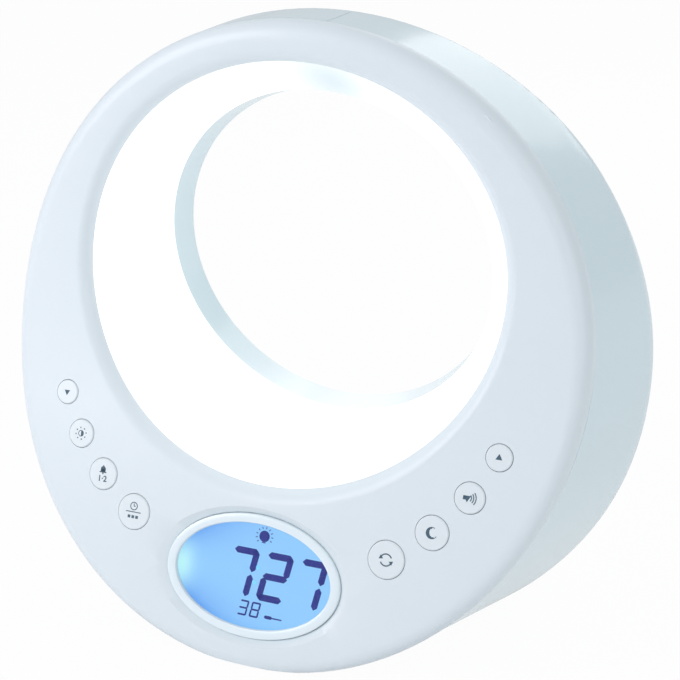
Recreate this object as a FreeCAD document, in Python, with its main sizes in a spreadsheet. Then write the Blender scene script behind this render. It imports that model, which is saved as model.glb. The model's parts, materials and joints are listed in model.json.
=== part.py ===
import FreeCAD, Part
import Sketcher
import math
import os

os.makedirs("parts", exist_ok=True)
doc = FreeCAD.newDocument("sunrise_alarm_clock")
V = FreeCAD.Vector

# Driving dimensions, in millimetres and degrees
# Heights are above the flat underside, setbacks run back from the line where the flat face starts to curve
dimensions = {
    "foot_height": 0.8,
    "foot_recess": 0.8,
    "front_foot_radius": 5,
    "rear_foot_radius": 6.5,
    "front_foot_across": 17,
    "rear_foot_across": 54,
    "front_foot_setback": -9,
    "rear_foot_setback": 70,
    "front_radius": 103,
    "front_sink": 2.2,
    "face_lean": 20.1,
    "face_bend_height": 73.2,
    "face_arc_radius": 306,
    "edge_round": 6,
    "bezel_depth": 6.5,
    "girth_flare": 12.7,
    "girth_drop": 10.9,
    "girth_setback": 51.8,
    "girth_round_run": 2.7,
    "girth_round_drop": 0.3,
    "tail_taper": 9.7,
    "tail_drop": 1.9,
    "tail_setback": 94,
    "back_lean": 10.2,
    "back_edge_round": 3,
    "wall": 2.4,
    "opening_radius": 60,
    "opening_rise": 18.1,
    "opening_setback": 65.2,
    "sleeve_length": 13,
    "sleeve_wall": 2.4,
    "sleeve_flare": 0.8,
    "rim_margin_across": 28.4,
    "rim_margin_up": 35,
    "rim_rise": 22,
    "rim_depth": 4.5,
    "lip_round": 4,
    "lip_width": 6.9,
    "flange_width": 4.7,
    "flange_thickness": 1.8,
    "diffuser_wall": 2,
    "reflector_wall": 1.2,
    "reflector_gap": 1.4,
    "led_board_margin": 5,
    "led_board_width": 10.5,
    "led_board_seat": 8,
    "led_board_gap_angle": 26,
    "led_count": 36,
    "led_length": 3.5,
    "led_width": 2.8,
    "led_thickness": 0.9,
    "board_thickness": 1.6,
    "post_radius": 2.6,
    "display_height": 30.1,
    "window_half_width": 28.1,
    "window_half_height": 17.3,
    "window_depth": 1.7,
    "window_thickness": 1.4,
    "window_rebate": 0.9,
    "frame_width": 3.5,
    "frame_depth": 0.5,
    "frame_edge_round": 0.9,
    "frame_seat": 3.4,
    "frame_flange_width": 1.6,
    "frame_flange_thickness": 0.8,
    "dish_width": 3.6,
    "dish_rise": 2.1,
    "dish_depth": 1.8,
    "glass_width": 58,
    "glass_height": 36.6,
    "glass_thickness": 2.2,
    "guide_thickness": 3,
    "strip_width": 2,
    "holder_wall": 2.2,
    "key_circle_inset": 17.4,
    "key_circle_drop": 14.665,
    "key_display_gap": 1.4,
    "key_step_second": 11.8,
    "key_step_third": 22.9,
    "key_step_outer": 33.4,
    "key_radius_inner": 6.1,
    "key_radius_second": 5.46,
    "key_radius_third": 4.91,
    "key_radius_outer": 4.23,
    "key_clearance": 0.2,
    "key_rise": 0.45,
    "key_edge_chamfer": 0.35,
    "key_flange_width": 1,
    "key_flange_thickness": 1,
    "key_stem_radius": 1.6,
    "key_stem_length": 1.6,
    "key_travel": 0.8,
    "switch_side": 6,
    "switch_height": 3.5,
    "switch_plunger_radius": 1.7,
    "switch_plunger_height": 0.9,
    "key_board_half_width": 7,
    "key_board_display_gap": 2,
    "key_board_run_out": 7,
    "snooze_half_width": 12.8,
    "snooze_front_setback": 25.2,
    "snooze_length": 20,
    "snooze_lip_thickness": 0.9,
    "snooze_travel": 1,
    "snooze_lip": 1.6,
    "snooze_clearance": 0.3,
    "snooze_switch_height": 1.5,
    "snooze_board_length": 40,
    "snooze_board_width": 10,
    "snooze_board_thickness": 1,
    "main_board_width": 84,
    "main_board_length": 42,
    "main_board_height": 5.6,
    "main_board_setback": 8,
    "tongue_width": 26,
    "tongue_across": 3.5,
    "jack_height": 6.4,
    "dc_jack_across": -2.8,
    "dc_jack_width": 9,
    "dc_jack_length": 14,
    "dc_bore_radius": 3.2,
    "dc_pin_radius": 1,
    "aux_jack_across": 10.2,
    "aux_jack_width": 10,
    "aux_jack_length": 13,
    "aux_bore_radius": 1.8,
    "nose_wall": 1,
    "nose_clearance": 0.3,
    "speaker_across": 36,
    "speaker_height": 24,
    "speaker_radius": 17,
    "speaker_depth": 9,
    "speaker_rim_thickness": 2,
    "cone_thickness": 0.6,
    "cone_seat": 0.8,
    "magnet_radius": 9,
    "magnet_depth": 6,
    "grille_slot_width": 1.8,
    "grille_pitch": 4,
    "grille_radius": 14,
    "bay_across": 36,
    "bay_height": 16.6,
    "bay_width": 48,
    "bay_opening_height": 22.4,
    "bay_depth": 13,
    "bay_wall": 1.4,
    "door_thickness": 1.8,
    "door_clearance": 0.3,
    "door_pin_radius": 0.6,
    "door_pin_length": 1,
    "cell_radius": 5.2,
    "cell_length": 44.4,
    "contact_thickness": 0.5,
    "upper_screw_angle": 48.7,
    "upper_screw_inset": 6.1,
    "middle_screw_angle": 7.1,
    "middle_screw_inset": 12.3,
    "lower_screw_angle": -46.9,
    "lower_screw_inset": 11.5,
    "screw_radius": 1.5,
    "screw_head_radius": 2.6,
    "screw_head_height": 2,
    "screw_length": 11,
    "screw_post_radius": 4,
    "screw_seat": 8,
    "board_screw_radius": 0.9,
    "board_screw_length": 4.6,
    "board_screw_head_radius": 1.8,
    "board_screw_head_height": 0.9,
    "chip_side": 12,
    "chip_height": 1.5,
    "can_width": 22,
    "can_height": 3,
    "capacitor_radius": 3,
    "capacitor_height": 9,
    "finger_notch_radius": 5,
    "contact_side": 8,
    "fit_gap": 0.1,
    "touch_gap": 0.02,
}

sheet = doc.addObject("Spreadsheet::Sheet", "sizes")
for row, (name, value) in enumerate(dimensions.items(), start=1):
    sheet.set(f"A{row}", name)
    sheet.set(f"B{row}", str(value))
    sheet.setAlias(f"B{row}", name)
doc.recompute()


def size(name):
    return float(sheet.get(name))


# Places that several pieces share
base = size("foot_height")
wall = size("wall")
lean = math.radians(size("face_lean"))
back_lean = math.radians(size("back_lean"))
fit_gap = size("fit_gap")
touch_gap = size("touch_gap")
bend_z = base + size("face_bend_height")
front_z = base + size("front_radius") - size("front_sink")
girth_radius = size("front_radius") + size("girth_flare")
girth_z = front_z - size("girth_drop")
girth_y = size("girth_setback")
rim_half_width = size("front_radius") - size("rim_margin_across")
rim_half_height = size("front_radius") - size("rim_margin_up")
rim_z = front_z + size("rim_rise")
opening_z = front_z + size("opening_rise")
opening_y = size("opening_setback")
led_inner_radius = size("opening_radius") + size("led_board_margin")
led_outer_radius = led_inner_radius + size("led_board_width")
key_circle = size("front_radius") - size("key_circle_inset")
key_circle_height = (rim_z - base) / math.cos(lean) - size("key_circle_drop")
reach = 3 * girth_radius
curve_points = 16
strips_in_a_round = 4


def face_y(z):
    """Depth of the face at a height: flat and leaning back, then curving up to vertical."""
    if z <= bend_z:
        return (z - bend_z) * math.tan(lean)
    radius = size("face_arc_radius")
    run = math.sin(lean) - (z - bend_z) / radius
    return radius * (math.sqrt(1 - run * run) - math.cos(lean))


def back_y(z, depth=0):
    """Depth of the leaning back face at a height, or of a plane parallel to it further in."""
    return opening_y - depth / math.cos(back_lean) - (z - opening_z) * math.tan(back_lean)


# The face frame: local x to the right, y up along the face, z out of it, origin at the underside
face_frame = FreeCAD.Placement(V(0, face_y(base), base), FreeCAD.Rotation(V(1, 0, 0), 90 - size("face_lean")))

# The back frame: local y up along the back face, z out of it, x to the left, origin at the opening
back_turn = FreeCAD.Rotation(V(0, 0, 1), 180).multiply(FreeCAD.Rotation(V(1, 0, 0), 90 - size("back_lean")))
back_frame = FreeCAD.Placement(V(0, opening_y, opening_z), back_turn)


def on_face(x, y, z=0):
    """Placement in the face frame."""
    return face_frame.multiply(FreeCAD.Placement(V(x, y, z), FreeCAD.Rotation()))


def on_back(across, height, depth=0):
    """Placement on the back face at a world distance across and a height above the underside."""
    up = (base + height - opening_z) / math.cos(back_lean)
    return back_frame.multiply(FreeCAD.Placement(V(-across, up, -depth), FreeCAD.Rotation()))


def placed(shape, placement):
    """Copy of a shape carried into a frame."""
    copy = shape.copy()
    copy.Placement = placement.multiply(copy.Placement)
    return copy


def in_front_of_face(depth):
    """Solid that fills the room in front of the face, or of a copy of it set back by a depth."""
    low = base - size("front_radius")
    high = front_z + 1.3 * size("front_radius")
    middle = (bend_z + high) / 2
    foot = V(-reach, face_y(low) + depth, low)
    bend = V(-reach, depth, bend_z)
    crown = V(-reach, face_y(middle) + depth, middle)
    top = V(-reach, face_y(high) + depth, high)
    far_top = V(-reach, -reach, high)
    far_foot = V(-reach, -reach, low)
    edges = [
        Part.makeLine(foot, bend),
        Part.Arc(bend, crown, top).toShape(),
        Part.makeLine(top, far_top),
        Part.makeLine(far_top, far_foot),
        Part.makeLine(far_foot, foot),
    ]
    return Part.Face(Part.Wire(edges)).extrude(V(2 * reach, 0, 0))


def above(z):
    """Solid that fills the room above a level."""
    return Part.makeBox(2 * reach, 2 * reach, 2 * reach, V(-reach, -reach, z))


def before_back(depth):
    """Solid that fills the room in front of the back face, or of a plane further in."""
    block = Part.makeBox(2 * reach, 2 * reach, reach, V(-reach, -reach, -reach - depth))
    return placed(block, back_frame)


def ellipse_wire(half_width, half_height, centre, up):
    """Closed ellipse whose longer half may lie either way."""
    across_point = centre + V(half_width, 0, 0)
    up_point = centre + up * half_height
    if half_width >= half_height:
        curve = Part.Ellipse(across_point, up_point, centre)
    else:
        curve = Part.Ellipse(up_point, across_point, centre)
    return Part.Wire([curve.toShape()])


def oval_column(grow):
    """Column along the depth with the outline of the tunnel's rim, grown by a margin."""
    centre = V(0, -reach / 2, rim_z)
    wire = ellipse_wire(rim_half_width + grow, rim_half_height + grow, centre, V(0, 0, 1))
    return Part.Face(wire).extrude(V(0, reach, 0))


def oval(half_width, half_height, low, high):
    """Oval plate round the display's centre, between two levels of the face frame."""
    centre = V(0, size("display_height"), low)
    return Part.Face(ellipse_wire(half_width, half_height, centre, V(0, 1, 0))).extrude(V(0, 0, high - low))


def oval_plate(half_width, half_height, low, high):
    return placed(oval(half_width, half_height, low, high), face_frame)


def round_column(radius, z, start=-1.0, length=2.0):
    """Column along the depth round a centre on the middle plane."""
    return Part.makeCylinder(radius, length * reach, V(0, start * reach, z), V(0, 1, 0))


def closed_curve(points):
    """Smooth closed curve through points that are evenly spaced in angle."""
    steps = [index / len(points) for index in range(len(points) + 1)]
    spline = Part.BSplineCurve()
    spline.interpolate(Points=points, PeriodicFlag=True, Parameters=steps)
    return spline.toShape()


def angles():
    return [2 * math.pi * index / curve_points for index in range(curve_points)]


def rim_curve(grow, depth):
    """Closed curve that follows the face, a depth behind it, round the tunnel's rim."""
    points = []
    for angle in angles():
        z = rim_z + (rim_half_height + grow) * math.sin(angle)
        x = (rim_half_width + grow) * math.cos(angle)
        points.append(V(x, face_y(z) + depth, z))
    return closed_curve(points)


def outline_curve(grow, depth):
    """Closed curve that follows the face, a depth behind it, round the clock's front outline."""
    points = []
    for angle in angles():
        z = front_z + (size("front_radius") + grow) * math.sin(angle)
        x = (size("front_radius") + grow) * math.cos(angle)
        points.append(V(x, face_y(z) + depth, z))
    return closed_curve(points)


def back_curve(radius, depth):
    """Closed curve in a plane parallel to the back face, round the tunnel."""
    points = []
    for angle in angles():
        z = opening_z + radius * math.sin(angle)
        points.append(V(radius * math.cos(angle), back_y(z, depth), z))
    return closed_curve(points)


def ring_of(curves):
    """Ring-shaped solid whose skin runs straight from each closed curve to the next."""
    following = curves[1:] + curves[:1]
    faces = [Part.makeRuledSurface(first, second) for first, second in zip(curves, following)]
    shell = Part.Shell(faces)
    shell.sewShape()
    solid = Part.Solid(shell)
    if solid.Volume < 0:
        solid.reverse()
    return solid


def round_cutter(curve, side, radius):
    """Ring that rounds an edge of the face: a quarter round in straight strips, its ends run out of the solid."""
    profile = []
    for index in range(strips_in_a_round + 1):
        turn = math.pi / 2 * index / strips_in_a_round
        profile.append((radius * (1 - math.sin(turn)), radius * (1 - math.cos(turn))))
    first, second = profile[0], profile[1]
    last, before_last = profile[-1], profile[-2]
    start = (2 * first[0] - second[0], 2 * first[1] - second[1])
    end = (2 * last[0] - before_last[0], 2 * last[1] - before_last[1])
    corners = [(-radius, end[1]), (-radius, -radius), (start[0], -radius)]
    outline = [start] + profile[1:-1] + [end] + corners
    return ring_of([curve(side * away, depth) for away, depth in outline])


def envelope_rings(inset):
    """Points round the rear housing's form: parting line, start, crown and end of the girth's round, tail."""
    plane_y = face_y(base - size("front_radius") / 4)
    run = size("girth_round_run")
    tail_z = girth_z - size("tail_drop")
    front_radius = size("front_radius") - inset
    wide = girth_radius - inset
    narrow = wide - size("tail_taper")
    rings = [[], [], [], [], []]
    for angle in angles():
        start_z = front_z + front_radius * math.sin(angle)
        start = V(front_radius * math.cos(angle), face_y(start_z) + size("bezel_depth"), start_z)
        widest = V(wide * math.cos(angle), girth_y, girth_z + wide * math.sin(angle))
        crown = wide - size("girth_round_drop")
        tail = V(narrow * math.cos(angle), size("tail_setback"), tail_z + narrow * math.sin(angle))
        slope = (widest - start) / (widest.y - start.y)
        taper = (tail - widest) / (tail.y - widest.y)
        rings[0].append(start - slope * (start.y - plane_y))
        rings[1].append(widest - slope * run)
        rings[2].append(V(crown * math.cos(angle), girth_y, girth_z + crown * math.sin(angle)))
        rings[3].append(widest + taper * run)
        rings[4].append(tail)
    return rings


def envelope(inset):
    """Rear housing's outer form: straight walls to the rounded girth, then a taper to the back."""
    return Part.makeLoft([Part.Wire([closed_curve(points)]) for points in envelope_rings(inset)], True, True)


def back_outline(inset, depth):
    """Closed curve where the form, drawn in by an inset, meets the back face or a plane further in."""
    points = []
    for line in zip(*envelope_rings(inset)):
        for start, end in zip(line, line[1:]):
            before = start.y - back_y(start.z, depth)
            after = end.y - back_y(end.z, depth)
            if before <= 0 < after:
                points.append(start + (end - start) * (before / (before - after)))
    return closed_curve(points)


def edges_where(shape, test):
    """Edges whose points all pass a test."""
    chosen = []
    for edge in shape.Edges:
        if edge.Length > 0.01 and all(test(point) for point in edge.discretize(7)):
            chosen.append(edge)
    return chosen


def feature(name, shape, placement=None):
    """Sub-part whose shape is made by solid operations on the sheet's sizes."""
    part = doc.addObject("Part::Feature", name)
    part.Label = name
    part.Shape = shape
    if placement is not None:
        part.Placement = placement
    return part


# Front bezel: crescent face with a rolled lip round the tunnel, open behind
def front_bezel():
    radius = size("front_radius")
    block = round_column(radius, front_z).cut(in_front_of_face(0))
    block = block.common(in_front_of_face(size("bezel_depth")))
    block = block.cut(round_cutter(outline_curve, -1, size("edge_round")))
    block = block.cut(oval_column(0))
    block = block.cut(round_cutter(rim_curve, 1, size("lip_round")))
    block = block.common(above(base))

    # Hollow behind the face, with the lip and the display collar left standing
    half_width = size("window_half_width") + size("frame_width")
    half_height = size("window_half_height") + size("frame_width") - 0.3
    hollow = round_column(radius - wall, front_z).cut(in_front_of_face(wall / math.cos(lean)))
    hollow = hollow.common(above(base + wall))
    hollow = hollow.cut(oval_column(size("lip_width")))
    collar = size("dish_width") + wall
    hollow = hollow.cut(oval_plate(half_width + collar, half_height + collar, -size("frame_seat"), 0))
    block = block.cut(hollow)

    # Seat of the diffuser's flange behind the lip
    seat = oval_column(size("flange_width") + fit_gap).cut(in_front_of_face(size("rim_depth")))
    block = block.cut(seat)

    # Sloping dish and hole of the display
    slope = size("dish_width") / size("dish_depth")
    rise_slope = size("dish_rise") / size("dish_depth")
    centre = V(0, size("display_height"), 0)
    up = V(0, 1, 0)
    over = 2
    dish_top = ellipse_wire(
        half_width + size("dish_width") + slope * over,
        half_height + size("dish_rise") + rise_slope * over,
        centre + V(0, 0, over),
        up,
    )
    dish_foot = ellipse_wire(half_width + 0.2, half_height + 0.2, centre - V(0, 0, size("dish_depth")), up)
    block = block.cut(placed(Part.makeLoft([dish_top, dish_foot], True, True), face_frame))
    block = block.cut(oval_plate(half_width + 0.2, half_height + 0.2, -10 * wall, 1))
    flange = size("frame_flange_width") + 0.3
    block = block.cut(oval_plate(half_width + flange, half_height + flange, -10 * wall, -size("frame_seat")))

    # Round holes of the keys
    holes = []
    for across, up_face, hole_radius in key_places():
        hole = Part.makeCylinder(hole_radius + size("key_clearance"), 4 * wall, V(across, up_face, -2 * wall))
        holes.append(placed(hole, face_frame))
    block = block.cut(holes)

    # Posts for the case screws, the key boards and the display
    before_face = in_front_of_face(wall / 2)
    posts = case_screw_columns(size("screw_post_radius"))
    posts = posts.common(in_front_of_face(size("bezel_depth"))).cut(before_face)
    bores = case_screw_columns(size("screw_radius")).cut(in_front_of_face(wall))
    stand_offs = []
    for across, up_face in key_post_places():
        depth = key_board_depth()
        post = Part.makeCylinder(size("post_radius") - 0.6, depth - wall / 2, V(across, up_face, -depth))
        stand_offs.append(placed(post, face_frame))
    for across, up_face in holder_post_places():
        depth = holder_depth()
        post = Part.makeCylinder(size("post_radius") - 0.6, depth - wall / 2, V(across, up_face, -depth))
        stand_offs.append(placed(post, face_frame))
    block = block.fuse([posts] + stand_offs).cut([bores] + board_screw_bores())
    return block.removeSplitter()


def key_rows():
    """Names, angle and radius of the keys, from the display outwards, left and right."""
    return [
        ("set", "mode", "inner"),
        ("alarm", "sleep", "second"),
        ("brightness", "volume", "third"),
        ("down", "up", "outer"),
    ]


def key_angle(row):
    """Angle of a key from the middle plane; the inner key keeps clear of the display's collar."""
    collar = size("window_half_width") + size("frame_width") + size("dish_width") + wall
    inner = collar + size("key_display_gap") + size("key_radius_inner") + size("key_flange_width")
    step = 0 if row == "inner" else size(f"key_step_{row}")
    return math.degrees(math.asin(inner / key_circle)) + step


def key_place(side, row):
    """Centre of a key in the face frame, on a circle round the tunnel."""
    angle = math.radians(key_angle(row))
    return side * key_circle * math.sin(angle), key_circle_height - key_circle * math.cos(angle)


def key_places():
    places = []
    for _, _, row in key_rows():
        for side in (-1, 1):
            across, up_face = key_place(side, row)
            places.append((across, up_face, size(f"key_radius_{row}")))
    return places


def switch_top_depth():
    """Depth of the switches' plungers, just beyond the keys' travel."""
    stem_end = wall + 0.1 + size("key_flange_thickness") + size("key_stem_length")
    return stem_end + size("key_travel") + 0.1


def key_board_depth():
    return switch_top_depth() + size("switch_plunger_height") + size("switch_height")


def key_post_places():
    """Posts that carry the two key boards, between the keys."""
    between = (key_angle("inner") + key_angle("second")) / 2
    outer = (key_angle("third") + key_angle("outer")) / 2
    places = []
    for side in (-1, 1):
        for degrees in (between, outer):
            angle = math.radians(degrees)
            reach_out = key_circle + size("key_board_half_width") - size("post_radius") - 2 * fit_gap
            up_face = key_circle_height - reach_out * math.cos(angle)
            places.append((side * reach_out * math.sin(angle), up_face))
    return places


def holder_depth():
    """Depth of the display holder's ears."""
    return size("frame_seat") + size("frame_flange_thickness") + 1


def holder_post_height():
    return size("display_height") - size("glass_height") / 4


def holder_post_places():
    across = size("glass_width") / 2 + size("holder_wall") + size("post_radius") + 1.6
    return [(-across, holder_post_height()), (across, holder_post_height())]


def screw_places():
    """Screws that hold the two halves of the case together, seen from the front."""
    places = []
    for row in ("upper", "middle", "lower"):
        angle = math.radians(size(f"{row}_screw_angle"))
        circle = size("front_radius") - size(f"{row}_screw_inset")
        for side in (-1, 1):
            places.append((side * circle * math.cos(angle), front_z + circle * math.sin(angle)))
    return places


def case_screw_columns(radius):
    """Columns on the axes of the case screws."""
    columns = [Part.makeCylinder(radius, reach, V(x, -reach / 3, z), V(0, 1, 0)) for x, z in screw_places()]
    return Part.makeCompound(columns)


def turned_over(placement):
    return placement.multiply(FreeCAD.Placement(V(0, 0, 0), FreeCAD.Rotation(V(1, 0, 0), 180)))


def board_screw_places():
    """Head seats of the small screws, each with its head on the local z side."""
    board = size("board_thickness")
    places = []
    for across, up_face in key_post_places():
        places.append(turned_over(on_face(across, up_face, -key_board_depth() - board)))
    for across, up_face in holder_post_places():
        places.append(turned_over(on_face(across, up_face, -holder_depth() - board)))
    for across, up in led_post_places():
        seat = back_frame.multiply(FreeCAD.Placement(V(across, up, -size("led_board_seat") - board), FreeCAD.Rotation()))
        places.append(turned_over(seat))
    for across, setback in main_post_places():
        places.append(FreeCAD.Placement(V(across, setback, main_board_top()), FreeCAD.Rotation()))
    for side in (-1, 1):
        seat_z = snooze_board_top() - size("snooze_board_thickness")
        seat = V(side * snooze_post_across(), snooze_middle_y(), seat_z)
        places.append(turned_over(FreeCAD.Placement(seat, FreeCAD.Rotation())))
    return places


def board_screw_bores():
    length = size("board_screw_length") + 0.3
    bore = Part.makeCylinder(size("board_screw_radius") + 0.05, length, V(0, 0, -length))
    return [placed(bore, place) for place in board_screw_places()]


def box_on(width, length, height, placement):
    """Block centred on a placement's z axis, standing on it."""
    return placed(Part.makeBox(width, length, height, V(-width / 2, -length / 2, 0)), placement)


# Rear housing: side wall that flares to the girth, flat underside, leaning back with the tunnel's rear sleeve
def screw_seat_y(z):
    """Depth where a case screw's head sits, inside the housing's post."""
    return face_y(z) + size("bezel_depth") + size("screw_seat")


def bay_box(grow, depth_grow):
    """Block of the battery bay in the back frame, grown by a wall."""
    width = size("bay_width") + 2 * grow
    height = size("bay_opening_height") + 2 * grow
    depth = size("bay_depth") + depth_grow
    block = Part.makeBox(width, height, depth + wall, V(-width / 2, -height / 2, -depth))
    return placed(block, on_back(-size("bay_across"), size("bay_height")))


def snooze_block(margin):
    """Upright block with the snooze bar's plan, grown by a margin."""
    half = size("snooze_half_width") + margin
    length = size("snooze_length") + 2 * margin
    corner = V(-half, size("snooze_front_setback") - margin, opening_z + size("opening_radius"))
    return Part.makeBox(2 * half, length, reach, corner)


def snooze_board_top():
    """Height of the snooze switch's board, below the bar's lowest place."""
    lowest = front_z + size("front_radius") - wall - 0.1 - size("snooze_lip_thickness")
    return lowest - size("snooze_travel") - 0.2 - size("snooze_switch_height")


def snooze_post_across():
    return size("snooze_board_length") / 2 - size("post_radius")


def snooze_middle_y():
    return size("snooze_front_setback") + size("snooze_length") / 2


def led_board_centre():
    """Centre of the LED board in the back frame, on the tunnel's axis."""
    depth = size("led_board_seat")
    return V(0, depth * math.tan(back_lean), -depth)


def led_post_places():
    """Posts of the LED board, in the back frame."""
    centre = led_board_centre()
    chips_end = led_inner_radius + 1.5 * size("led_width")
    circle = chips_end + size("board_screw_head_radius") + 3 * fit_gap
    places = []
    for degrees in (45, 135, 225, 315):
        angle = math.radians(degrees)
        places.append((circle * math.cos(angle), centre.y + circle * math.sin(angle)))
    return places


def main_board_top():
    return base + size("main_board_height") + size("board_thickness")


def jack_axis_z():
    return main_board_top() + size("jack_height")


def main_post_places():
    half = size("main_board_width") / 2 - size("post_radius") - 0.6
    start = size("main_board_setback") + size("post_radius") + 0.6
    end = size("main_board_setback") + size("main_board_length") - size("post_radius") - 0.6
    return [(-half, start), (half, start), (-half, end), (half, end)]


def speaker_place(depth=0):
    return on_back(size("speaker_across"), size("speaker_height"), depth)


def rear_housing():
    outer = envelope(0).common(before_back(0)).cut(round_cutter(back_outline, 1, size("back_edge_round")))
    outer = outer.common(above(base))
    outer = outer.cut(in_front_of_face(size("bezel_depth") + touch_gap))
    hollow = envelope(wall).common(before_back(wall)).common(above(base + wall))
    body = outer.cut(hollow)

    # Tunnel's rear sleeve, from the back wall to the diffuser
    radius = size("opening_radius")
    flared = radius + size("sleeve_flare")
    length = size("sleeve_length")
    sleeve_wall = size("sleeve_wall")
    sleeve = [back_curve(radius + sleeve_wall, wall / 2), back_curve(flared + sleeve_wall, length)]
    sleeve = Part.makeLoft([Part.Wire([curve]) for curve in sleeve], True, True)
    bore = [back_curve(radius, -2 * wall), back_curve(radius, wall / 2), back_curve(flared, length)]
    bore = Part.makeLoft([Part.Wire([curve]) for curve in bore], True, True)

    # Posts inside: case screws, LED board, main board, snooze board, speaker ring, battery bay
    inside = envelope(wall / 2).common(before_back(wall / 2)).common(above(base + wall / 2))
    case_posts = case_screw_columns(size("screw_post_radius"))
    case_posts = case_posts.common(inside).cut(in_front_of_face(size("bezel_depth")))
    additions = [sleeve, case_posts]
    for across, up in led_post_places():
        height = size("led_board_seat") - wall / 2
        post = Part.makeCylinder(size("post_radius"), height, V(across, up, -size("led_board_seat")))
        additions.append(placed(post, back_frame))
    for across, setback in main_post_places():
        height = size("main_board_height") - wall / 2
        post = Part.makeCylinder(size("post_radius"), height, V(across, setback, base + wall / 2))
        additions.append(post)
    for side in (-1, 1):
        start = V(side * snooze_post_across(), snooze_middle_y(), snooze_board_top())
        post = Part.makeCylinder(size("post_radius") - 0.6, reach, start)
        additions.append(post.common(inside))
    ring_radius = size("speaker_radius") + 0.2
    ring = Part.makeCylinder(ring_radius + size("bay_wall"), 3 * wall, V(0, 0, -3.5 * wall))
    ring = ring.cut(Part.makeCylinder(ring_radius, 3 * wall, V(0, 0, -3.5 * wall)))
    additions.append(placed(ring, speaker_place()).common(inside))
    additions.append(bay_box(size("bay_wall"), size("bay_wall")).common(inside))
    body = body.fuse(additions)

    # Bores, grille, bay, slot and seats
    openings = [bore, bay_box(0, 0)]
    slot = snooze_block(size("snooze_clearance")).cut(before_snooze_floor())
    openings.append(slot)
    openings.append(case_screw_columns(size("screw_radius") + 0.2))
    for across, z in screw_places():
        seat = V(across, screw_seat_y(z), z)
        openings.append(Part.makeCylinder(size("screw_head_radius") + 0.3, reach, seat, V(0, 1, 0)))
    slots = []
    count = int(size("grille_radius") // size("grille_pitch"))
    for index in range(-count, count + 1):
        level = index * size("grille_pitch") - size("grille_slot_width") / 2
        corner = V(-size("grille_radius"), level, -1.5 * wall)
        slots.append(Part.makeBox(2 * size("grille_radius"), size("grille_slot_width"), 3 * wall, corner))
    disc = Part.makeCylinder(size("grille_radius"), 3 * wall, V(0, 0, -1.5 * wall))
    openings.append(placed(Part.makeCompound(slots).common(disc), speaker_place()))
    for across, bore_radius in jack_bores():
        hole_radius = bore_radius + size("nose_wall") + size("nose_clearance")
        hole = Part.makeCylinder(hole_radius, reach, V(across, opening_y, jack_axis_z()), V(0, 1, 0))
        openings.append(hole)
    for across, setback, radius in foot_places():
        recess = Part.makeCylinder(radius + 0.1, size("foot_recess"), V(across, setback, base))
        openings.append(recess)
    pin = Part.makeCylinder(
        size("door_pin_radius") + 0.08,
        size("bay_width") + 2 * size("door_pin_length") + 0.6,
        V(-size("bay_width") / 2 - size("door_pin_length") - 0.3, door_axis_up(), -size("door_thickness") / 2),
        V(1, 0, 0),
    )
    openings.append(placed(pin, on_back(-size("bay_across"), size("bay_height"))))
    return body.cut(openings + board_screw_bores())


def before_snooze_floor():
    """Room under the housing's top wall, which the snooze bar's slot leaves alone."""
    return envelope(wall + 0.05)


def door_axis_up():
    """Height of the battery door's hinge in the door's own frame."""
    return -size("bay_opening_height") / 2 + size("door_clearance") + size("door_thickness") / 2


def jack_bores():
    return [
        (size("dc_jack_across"), size("dc_bore_radius")),
        (size("aux_jack_across"), size("aux_bore_radius")),
    ]


def foot_places():
    places = []
    for row in ("front", "rear"):
        for side in (-1, 1):
            across = side * size(f"{row}_foot_across")
            places.append((across, size(f"{row}_foot_setback"), size(f"{row}_foot_radius")))
    return places


feature("front_bezel", front_bezel())
feature("rear_housing", rear_housing())


# Light diffuser: translucent funnel from the lip to the sleeve, with a flange behind the lip
skin = size("diffuser_wall")
flange_depth = size("rim_depth") + size("flange_thickness")
feature("light_diffuser", ring_of([
    rim_curve(0, size("rim_depth") + touch_gap),
    rim_curve(size("flange_width"), size("rim_depth") + touch_gap),
    rim_curve(size("flange_width"), flange_depth),
    rim_curve(skin + 0.3, flange_depth),
    back_curve(size("opening_radius") + size("sleeve_flare") + skin, size("sleeve_length")),
    back_curve(size("opening_radius") + size("sleeve_flare"), size("sleeve_length")),
]))

# Light reflector: thin white cone round the diffuser, from its flange to the LED board
gap = skin + size("reflector_gap")
thick = size("reflector_wall")
board_face = size("led_board_seat") + size("board_thickness")
reflector_radius = led_outer_radius - 1
seat_depth = flange_depth + fit_gap
feature("light_reflector", ring_of([
    rim_curve(gap, seat_depth),
    rim_curve(gap + thick, seat_depth),
    back_curve(reflector_radius + thick, board_face),
    back_curve(reflector_radius, board_face),
]))


# Ring board of the lamp, with a gap at the top, and its light emitting chips
def led_board():
    centre = led_board_centre()
    thickness = size("board_thickness")
    corner = V(0, centre.y, -size("led_board_seat") - thickness)
    gap_angle = size("led_board_gap_angle")
    ring = Part.makeCylinder(led_outer_radius, thickness, corner, V(0, 0, 1), 360 - gap_angle)
    ring = ring.cut(Part.makeCylinder(led_inner_radius, thickness, corner))
    ring.rotate(corner, V(0, 0, 1), 90 + gap_angle / 2)
    return placed(ring, back_frame).cut(board_screw_bores())


def led_chips():
    centre = led_board_centre()
    level = -size("led_board_seat") - size("board_thickness") - size("led_thickness")
    circle = led_inner_radius + size("led_width")
    count = int(size("led_count"))
    gap_angle = size("led_board_gap_angle") + 8
    step = (360 - gap_angle) / (count - 1)
    chips = []
    for index in range(count):
        chip = Part.makeBox(
            size("led_width"), size("led_length"), size("led_thickness"),
            V(circle - size("led_width") / 2, -size("led_length") / 2, 0),
        )
        turn = FreeCAD.Rotation(V(0, 0, 1), 90 + gap_angle / 2 + index * step)
        chips.append(placed(chip, FreeCAD.Placement(V(0, centre.y, level), turn)))
    return Part.makeCompound(chips)


feature("led_board", led_board())
feature("led_chips", led_chips(), back_frame)


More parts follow.
